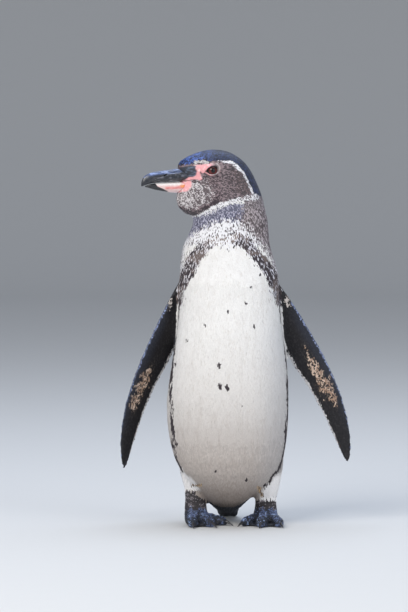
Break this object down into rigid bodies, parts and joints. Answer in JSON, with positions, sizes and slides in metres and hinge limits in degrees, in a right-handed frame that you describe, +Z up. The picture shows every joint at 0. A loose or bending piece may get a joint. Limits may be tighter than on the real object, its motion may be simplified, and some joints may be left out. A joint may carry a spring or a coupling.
{
  "type": "galapagos penguin",
  "caption": "Adult Galapagos penguin standing upright, head turned to its right, wings held away from the body, tail just touching the floor.",
  "frame": {"origin": "on the floor, at the middle of the box that holds the bird", "axes": "+Z up, the breast faces -Y, the bird's right side is at -X and its left side at +X"},
  "size_m": [0.2734, 0.1588, 0.4426],
  "materials": {
    "plumage_dark": "short dense feathers, slate to blackish brown",
    "plumage_pale": "short dense feathers, white with a cream tint",
    "foot_skin": "scaly blue-grey skin",
    "bill_horn": "satin black horn",
    "bill_lower_horn": "satin horn, pink at the base and black at the tip",
    "claw_horn": "satin black horn",
    "eye": "wet, dark red-brown iris with a black pupil"
  },
  "bodies": {
    "root": {"head": "plumage_dark", "neck": "plumage_pale", "trunk": "plumage_pale", "tail": "plumage_dark", "bill_upper": "bill_horn", "bill_lower": "bill_lower_horn", "eye_right": "eye", "eye_left": "eye", "wing_right": "plumage_dark", "thigh_right": "plumage_pale", "shank_right": "foot_skin", "foot_right": "foot_skin", "claw_inner_right": "claw_horn", "claw_middle_right": "claw_horn", "claw_outer_right": "claw_horn", "claw_hallux_right": "claw_horn", "wing_left": "plumage_dark", "thigh_left": "plumage_pale", "shank_left": "foot_skin", "foot_left": "foot_skin", "claw_inner_left": "claw_horn", "claw_middle_left": "claw_horn", "claw_outer_left": "claw_horn", "claw_hallux_left": "claw_horn"}
  },
  "joints": []
}
